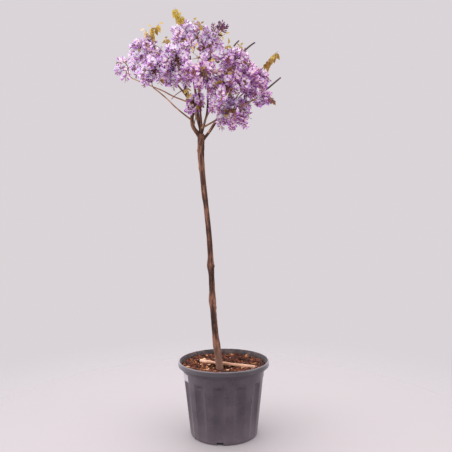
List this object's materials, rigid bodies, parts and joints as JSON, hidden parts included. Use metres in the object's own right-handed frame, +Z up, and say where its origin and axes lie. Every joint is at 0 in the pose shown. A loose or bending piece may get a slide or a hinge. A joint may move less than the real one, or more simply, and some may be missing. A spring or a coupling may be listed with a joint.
{
  "type": "tree wisteria",
  "caption": "Standard wisteria tree in full lilac bloom on one clear stem, standing in a fluted dark nursery pot topped with bark mulch.",
  "frame": {"origin": "centre of the pot's flat underside", "axes": "+Z up along the stem, -Y towards the front of the pot, +X to the right seen from the front"},
  "size_m": [0.5562, 0.4187, 1.4247],
  "materials": {
    "pot_plastic": "dark charcoal moulded plastic, satin to matte",
    "mulch": "loose reddish brown bark chips over potting soil",
    "peeled_wood": "pale peeled stick, dry and matte",
    "bark": "grey-brown bark, finely ridged along the stem",
    "shoot_bark": "thin tan to olive brown bark of young shoots",
    "blossom": "soft lilac petals with violet keels, and a few young bronze leaves"
  },
  "bodies": {
    "root": {"pot": "pot_plastic", "soil": "mulch", "fallen_stick": "peeled_wood", "trunk": "bark", "left_bough": "bark", "leader": "bark", "right_bough": "bark", "rear_bough": "bark", "front_bough": "bark", "rear_left_bough": "bark", "long_right_shoot": "shoot_bark", "low_left_shoot": "shoot_bark", "far_left_shoot": "shoot_bark", "upper_left_shoot": "shoot_bark", "right_side_shoot": "shoot_bark", "mid_right_shoot": "shoot_bark", "low_right_shoot": "shoot_bark", "low_front_shoot": "shoot_bark", "rear_middle_shoot": "shoot_bark", "rear_right_shoot": "shoot_bark", "sprig_shoot": "shoot_bark", "bare_twig": "shoot_bark", "far_left_blossom": "blossom", "upper_left_blossom": "blossom", "low_left_blossom": "blossom", "mid_left_blossom": "blossom", "top_blossom": "blossom", "top_right_blossom": "blossom", "front_blossom": "blossom", "upper_right_blossom": "blossom", "right_blossom": "blossom", "mid_right_blossom": "blossom", "low_right_blossom": "blossom", "low_front_blossom": "blossom", "sprig_blossom": "blossom", "right_tip_blossom": "blossom", "rear_left_blossom": "blossom", "rear_middle_blossom": "blossom", "rear_right_blossom": "blossom"}
  },
  "joints": []
}
